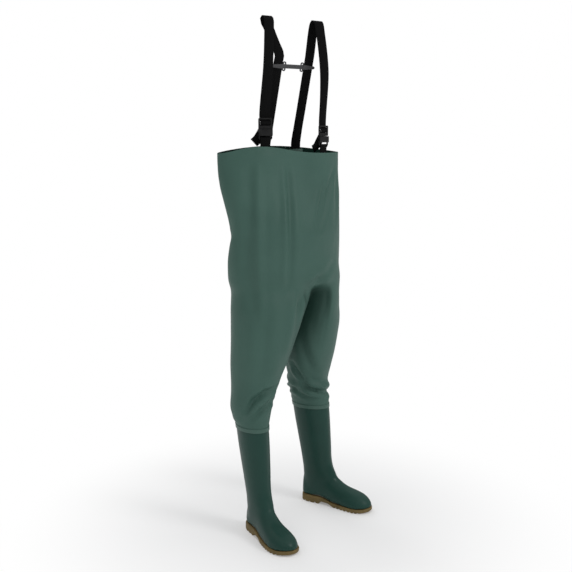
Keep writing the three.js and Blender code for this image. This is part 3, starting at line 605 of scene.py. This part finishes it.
def finish(name, dark, light, roughness, specular, mottle,
           weave=None, weave_depth=0.0, grain=None, grain_depth=0.0):
    """One surface finish: two tints in soft patches, uneven gloss, and a weave or a grain."""
    material = bpy.data.materials.new(name)
    material.use_nodes = True
    tree = material.node_tree
    shader = tree.nodes["Principled BSDF"]
    place = tree.nodes.new("ShaderNodeTexCoord").outputs["Object"]
    patch = tree.nodes.new("ShaderNodeGroup")
    patch.node_tree = MOTTLE
    patch.inputs["Scale"].default_value = mottle
    tree.links.new(place, patch.inputs["Place"])
    tint = tree.nodes.new("ShaderNodeMix")
    tint.data_type = "RGBA"
    colour_in = [s for s in tint.inputs if s.type == "RGBA"]
    colour_in[0].default_value = (*dark, 1)
    colour_in[1].default_value = (*light, 1)
    tree.links.new(patch.outputs["Mask"], tint.inputs["Factor"])
    colour_out = [s for s in tint.outputs if s.type == "RGBA"][0]
    tree.links.new(colour_out, shader.inputs["Base Color"])
    gloss = tree.nodes.new("ShaderNodeMapRange")
    gloss.inputs["To Min"].default_value = roughness - ROUGH_SPREAD
    gloss.inputs["To Max"].default_value = roughness + ROUGH_SPREAD
    tree.links.new(patch.outputs["Mask"], gloss.inputs["Value"])
    tree.links.new(gloss.outputs["Result"], shader.inputs["Roughness"])
    shader.inputs["Specular IOR Level"].default_value = specular
    last = None
    if weave:
        threads = tree.nodes.new("ShaderNodeGroup")
        threads.node_tree = THREADS
        threads.inputs["Across"].default_value = weave[0]
        threads.inputs["Up"].default_value = weave[1]
        tree.links.new(place, threads.inputs["Place"])
        bump = tree.nodes.new("ShaderNodeBump")
        bump.inputs["Distance"].default_value = weave_depth
        bump.inputs["Strength"].default_value = 1.0
        tree.links.new(threads.outputs["Height"], bump.inputs["Height"])
        last = bump
    if grain:
        fine = tree.nodes.new("ShaderNodeTexNoise")
        fine.inputs["Scale"].default_value = grain
        fine.inputs["Detail"].default_value = 3.0
        tree.links.new(place, fine.inputs["Vector"])
        bump = tree.nodes.new("ShaderNodeBump")
        bump.inputs["Distance"].default_value = grain_depth
        bump.inputs["Strength"].default_value = 1.0
        tree.links.new(fine.outputs["Fac"], bump.inputs["Height"])
        if last:
            tree.links.new(last.outputs["Normal"], bump.inputs["Normal"])
        last = bump
    if last:
        tree.links.new(last.outputs["Normal"], shader.inputs["Normal"])
    return material


COATED = finish("coated_nylon", (0.040, 0.092, 0.074), (0.050, 0.108, 0.088), 0.55, 0.22, 6.0,
                weave=(2600, 2600), weave_depth=0.00008, grain=90, grain_depth=0.0003)
LINING = finish("coated_nylon_inside", (0.002, 0.016, 0.011), (0.003, 0.020, 0.014), 0.8, 0.1, 9.0,
                weave=(2600, 2600), weave_depth=0.0001)
TAPE = finish("welded_tape", (0.044, 0.098, 0.078), (0.054, 0.112, 0.092), 0.45, 0.28, 14.0,
              grain=160, grain_depth=0.0003)
BOOT = finish("moulded_boot", (0.009, 0.042, 0.032), (0.012, 0.050, 0.039), 0.42, 0.22, 7.0,
              grain=220, grain_depth=0.00012)
SOLE = finish("tan_sole", (0.125, 0.090, 0.034), (0.185, 0.132, 0.052), 0.65, 0.2, 30.0,
              grain=320, grain_depth=0.0003)
FELT = finish("insole_felt", (0.10, 0.105, 0.095), (0.16, 0.165, 0.15), 0.95, 0.1, 60.0,
              grain=900, grain_depth=0.0006)
WEBBING = finish("elastic_webbing", (0.0022, 0.0022, 0.0023), (0.004, 0.004, 0.0042), 0.85, 0.08,
                 60.0, weave=(2100, 5200), weave_depth=0.00035)
BUCKLE = finish("buckle_plastic", (0.003, 0.003, 0.0033), (0.005, 0.005, 0.0054), 0.36, 0.2, 40.0,
                grain=700, grain_depth=0.00006)
GREY = finish("connector_plastic", (0.045, 0.045, 0.047), (0.055, 0.055, 0.057), 0.42, 0.25, 40.0,
              grain=700, grain_depth=0.00008)
PAPER = finish("pale_floor", (0.90, 0.90, 0.905), (0.92, 0.92, 0.925), 0.9, 0.0, 0.6)

# painted shade in the gap between the legs, on the garment's finish
darken_gap(COATED)

# ---- layers on the skin ------------------------------------------------------------------------
hem = layer_of_skin("chest_hem", [((0, 0, FLAT_RIM - HEM_DEPTH), (0, 0, -1))],
                    0.0015, 0.001, LINING)
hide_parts("chest_hem_facing")
tape = layer_of_skin(
    "centre_tape",
    [((seam_x - TAPE_HALF, 0, 0), (-1, 0, 0)), ((seam_x + TAPE_HALF, 0, 0), (1, 0, 0)),
     ((0, 0, FLAT_RIM - HEM_DEPTH - TAPE_BELOW_HEM), (0, 0, 1))],
    0.0015, 0.0008, LINING)
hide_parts("centre_seam_tape")
band_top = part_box("right_leg_weld_band")[1].z
for side in SIDES:
    past = ((seam_x, 0, 0), (1 if side == "right" else -1, 0, 0))
    band = layer_of_skin(side + "_weld_band", [past, ((0, 0, band_top), (0, 0, 1))],
                         -0.0017, 0.0012, TAPE)
    soften(band, 0.0004)
    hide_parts(side + "_leg_weld_band")

mark_gap(skin)
lower_rim(skin)
cover_tabs(skin)
paint(skin, COATED, LINING)
modify(skin, "SOLIDIFY", thickness=FABRIC_THICK, offset=-1, material_offset=1)
smooth_shade(skin, 60)
skin.name = "garment_body"
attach(skin, BODY)
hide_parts("right_body_half", "left_body_half")

# ---- boots -------------------------------------------------------------------------------------
CROOKS = {"right": (-0.190, -0.046, 0.118), "left": (0.194, 0.044, 0.118)}
ANKLE_FILL = 0.013
ANKLE_MIDDLE = (0.012, -0.006)  # ahead of and above the crook
ANKLE_REACH = (0.045, 0.045, 0.055)  # forward, up and across
BEND_FILL = 0.012
BEND_HEIGHT = 0.108
BEND_TALL = 0.026
BEND_WIDE = 0.05
BEND_FROM = (-0.055, -0.01)
SOFT_REACH = (0.07, 0.085)  # forward and up


def from_crook(boot, side):
    """Every point's distance ahead of, across from and above the crook of the ankle."""
    ahead = np.array(TOES[side])
    off = points_of(boot.data) - np.array(CROOKS[side])
    return off[:, :2] @ ahead, off[:, :2] @ np.array([-ahead[1], ahead[0]]), off[:, 2]


def blend_ankle(boot, side):
    """Fills the crook between shaft and instep in one long curve."""
    forward, across, up = from_crook(boot, side)
    long, tall, wide = ANKLE_REACH
    near = np.exp(-(((forward - ANKLE_MIDDLE[0]) / long) ** 2)
                  - ((up - ANKLE_MIDDLE[1]) / tall) ** 2 - (across / wide) ** 2)
    offset(boot, (ANKLE_FILL * near)[:, None])
    bend = boot.vertex_groups.new(name="bend")
    soft = np.exp(-((forward / SOFT_REACH[0]) ** 4) - (up / SOFT_REACH[1]) ** 4)
    for i, w in enumerate(soft):
        if w > 0.01:
            bend.add([i], float(w), "REPLACE")
    modify(boot, "SMOOTH", factor=0.5, iterations=160, vertex_group="bend")
    forward, across, up = from_crook(boot, side)
    co = points_of(boot.data)
    level = (co[:, 2] - BEND_HEIGHT) / BEND_TALL
    fill = BEND_FILL * np.exp(-(level ** 2) - (across / BEND_WIDE) ** 2) * step(forward, *BEND_FROM)
    co[:, :2] += fill[:, None] * np.array(TOES[side])
    set_points(boot.data, co)
    modify(boot, "SMOOTH", factor=0.5, iterations=30, vertex_group="bend")
    boot.vertex_groups.clear()


def toe_direction(side):
    """Level direction from heel to toe, from the outsole's own points."""
    flat = points_of(nodes[side + "_outsole"].data)[:, :2]
    flat = flat - flat.mean(0)
    _, vectors = np.linalg.eigh(np.cov(flat.T))
    return vectors[:, 1] * (-1 if vectors[1, 1] > 0 else 1)


TOES = {side: toe_direction(side) for side in SIDES}
for side in SIDES:
    node = side + "_boot_upper"
    shell = points_of(nodes[node].data)
    top = shell[:, 2].max()
    edge = outline(shell[shell[:, 2] > top - EDGE_BAND])
    ring = [np.array((p[0], p[1], top)) for p in edge]
    plug = prism("shaft_plug", ring, top - 0.012, top + 0.03, 0.002)
    boot = capped_skin(side + "_boot", [node], [plug], BOOT_VOXEL, 12)
    cut(boot, (0, 0, top), (0, 0, 1))
    blend_ankle(boot, side)
    modify(boot, "SOLIDIFY", thickness=BOOT_THICK, offset=-1)
    dress(boot, BODY, BOOT, 60, [node])
    sole = copy_of(side + "_sole", side + "_outsole")
    modify(sole, "REMESH", mode="VOXEL", voxel_size=SOLE_VOXEL)
    modify(sole, "SMOOTH", factor=0.5, iterations=4)
    dress(sole, BODY, SOLE, 180, [side + "_outsole"])
    felt = copy_of(side + "_insole_felt", side + "_insole")
    soften(felt, 0.0008, 40)
    dress(felt, BODY, FELT, 40, [side + "_insole"])
    for part, name in (("shoulder_strap", "strap"), ("front_tab", "tab")):
        web = copy_of(f"{side}_{name}_webbing", f"{side}_{part}")
        soften(web, 0.0004)
        if name == "tab":
            paint(web, WEBBING)
            smooth_shade(web, 40)
            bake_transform(web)
            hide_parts(f"{side}_{part}")
        else:
            dress(web, BODY, WEBBING, 40, [f"{side}_{part}"])
    for part in ("front", "back"):
        patch = copy_of(f"{side}_{part}_patch", f"{side}_{part}_anchor_patch")
        soften(patch, 0.0003)
        dress(patch, BODY, TAPE, 40, [f"{side}_{part}_anchor_patch"])
    for part in ("buckle_male", "buckle_female", "outer_latch", "inner_latch"):
        paint(nodes[f"{side}_{part}"], BUCKLE)
paint(nodes["back_connector"], GREY)
for name, node in nodes.items():
    if "buckle" in name or "latch" in name or name == "back_connector":
        edge = node.modifiers.new("edges", "BEVEL")
        edge.width = EDGE_ROUND
        edge.segments = 2
        edge.limit_method = "ANGLE"
        edge.angle_limit = math.radians(35)

# ---- stage -------------------------------------------------------------------------------------
SKY_LOW = 0.16  # glow of the sky below and above
SKY_HIGH = 1.15
SKY_FROM = -0.2
FLOOR_HALF = 40
FLOOR_WHITE = (0.30, 1.10)  # the floor turns plain white between these distances
FLOOR_LEAST = 0.2
LIGHT_AIM = (0, 0, 0.8)

scene = bpy.context.scene
scene.view_settings.view_transform = "Standard"
camera_data = bpy.data.cameras.new("camera")
camera_data.lens = 56.6
camera_data.sensor_width = 36
camera = bpy.data.objects.new("camera", camera_data)
camera.location = (-2.0062, -2.4779, 1.450)
camera.rotation_euler = (math.radians(80.1), 0, math.radians(-38))
scene.collection.objects.link(camera)
scene.camera = camera
world = bpy.data.worlds.new("studio")
scene.world = world
world.use_nodes = True
sky = world.node_tree
backdrop = sky.nodes["Background"]
backdrop.inputs["Color"].default_value = (1, 1, 1, 1)
glow = sky.nodes.new("ShaderNodeBackground")
height = sky.nodes.new("ShaderNodeSeparateXYZ")
sky.links.new(sky.nodes.new("ShaderNodeTexCoord").outputs["Generated"], height.inputs[0])
ramp = sky.nodes.new("ShaderNodeMapRange")
ramp.inputs["From Min"].default_value = SKY_FROM
ramp.inputs["To Min"].default_value = SKY_LOW
ramp.inputs["To Max"].default_value = SKY_HIGH
sky.links.new(height.outputs["Z"], ramp.inputs["Value"])
sky.links.new(ramp.outputs["Result"], glow.inputs["Strength"])
mix = sky.nodes.new("ShaderNodeMixShader")
sky.links.new(sky.nodes.new("ShaderNodeLightPath").outputs["Is Camera Ray"], mix.inputs[0])
sky.links.new(glow.outputs[0], mix.inputs[1])
sky.links.new(backdrop.outputs[0], mix.inputs[2])
sky.links.new(mix.outputs[0], sky.nodes["World Output"].inputs["Surface"])


def soft_light(name, place, width, power):
    data = bpy.data.lights.new(name, "AREA")
    data.shape = "DISK"
    data.size = width
    data.energy = power
    light = bpy.data.objects.new(name, data)
    light.location = place
    light.rotation_euler = (Vector(LIGHT_AIM) - Vector(place)).to_track_quat("-Z", "Y").to_euler()
    scene.collection.objects.link(light)


soft_light("key", (1.5, -3.4, 3.4), 1.5, 52)
soft_light("fill", (-3.0, -2.2, 2.6), 2.4, 6)
soft_light("back", (0.5, 3.2, 3.4), 2.0, 25)
corners = [(x * FLOOR_HALF, y * FLOOR_HALF, 0) for x, y in ((-1, -1), (1, -1), (1, 1), (-1, 1))]
floor = from_data("floor", corners, [(0, 1, 2, 3)])
floor.data.materials.append(PAPER)
paper = PAPER.node_tree
bright = paper.nodes.new("ShaderNodeEmission")
away = paper.nodes.new("ShaderNodeVectorMath")
away.operation = "LENGTH"
paper.links.new(paper.nodes.new("ShaderNodeTexCoord").outputs["Object"], away.inputs[0])
fade = paper.nodes.new("ShaderNodeMapRange")
fade.interpolation_type = "SMOOTHSTEP"
fade.inputs["From Min"].default_value = FLOOR_WHITE[0]
fade.inputs["From Max"].default_value = FLOOR_WHITE[1]
fade.inputs["To Min"].default_value = FLOOR_LEAST
paper.links.new(away.outputs["Value"], fade.inputs["Value"])
both = paper.nodes.new("ShaderNodeMixShader")
paper.links.new(fade.outputs["Result"], both.inputs[0])
paper.links.new(paper.nodes["Principled BSDF"].outputs[0], both.inputs[1])
paper.links.new(bright.outputs[0], both.inputs[2])
paper.links.new(both.outputs[0], paper.nodes["Material Output"].inputs["Surface"])
